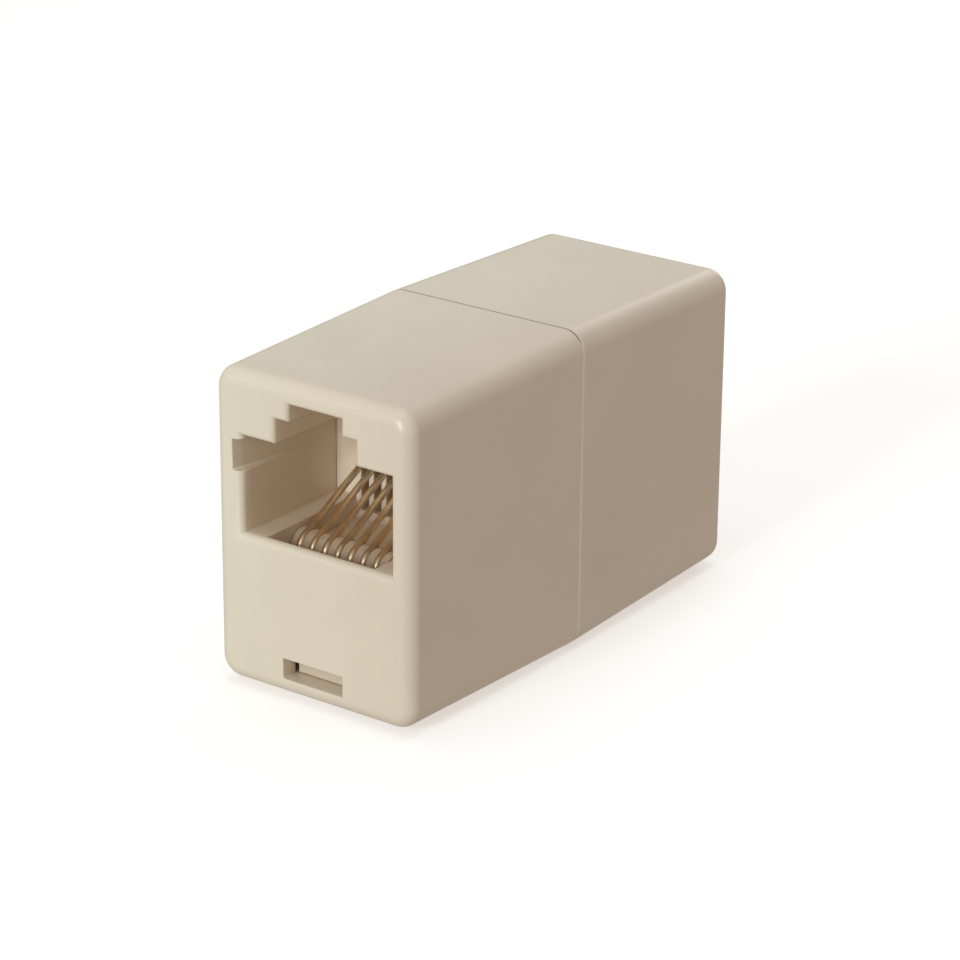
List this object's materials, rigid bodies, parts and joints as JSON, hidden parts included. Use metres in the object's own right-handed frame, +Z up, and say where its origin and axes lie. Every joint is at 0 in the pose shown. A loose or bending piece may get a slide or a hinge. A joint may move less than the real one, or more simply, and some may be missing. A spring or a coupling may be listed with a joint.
{
  "type": "inline coupler for modular patch leads",
  "caption": "Ivory inline coupler in two drafted halves, with a keyed modular jack in each end and gold spring wires that join them straight through.",
  "frame": {"origin": "middle of the footprint, at the lowest edge of the middle seam", "axes": "+Z up, towards the front jack's latch; -Y out of the front jack; +X to the right as the front jack is looked into"},
  "size_m": [0.016, 0.0362, 0.0221],
  "materials": {
    "housing": "satin ivory moulding",
    "insert": "ivory moulding",
    "contact": "thin gold plate on bronze wire"
  },
  "bodies": {
    "root": {"front_shell": "housing", "rear_shell": "housing", "contact_carrier": "insert", "contact_wire_1": "contact", "contact_wire_2": "contact", "contact_wire_3": "contact", "contact_wire_4": "contact", "contact_wire_5": "contact", "contact_wire_6": "contact", "contact_wire_7": "contact", "contact_wire_8": "contact"}
  },
  "joints": []
}
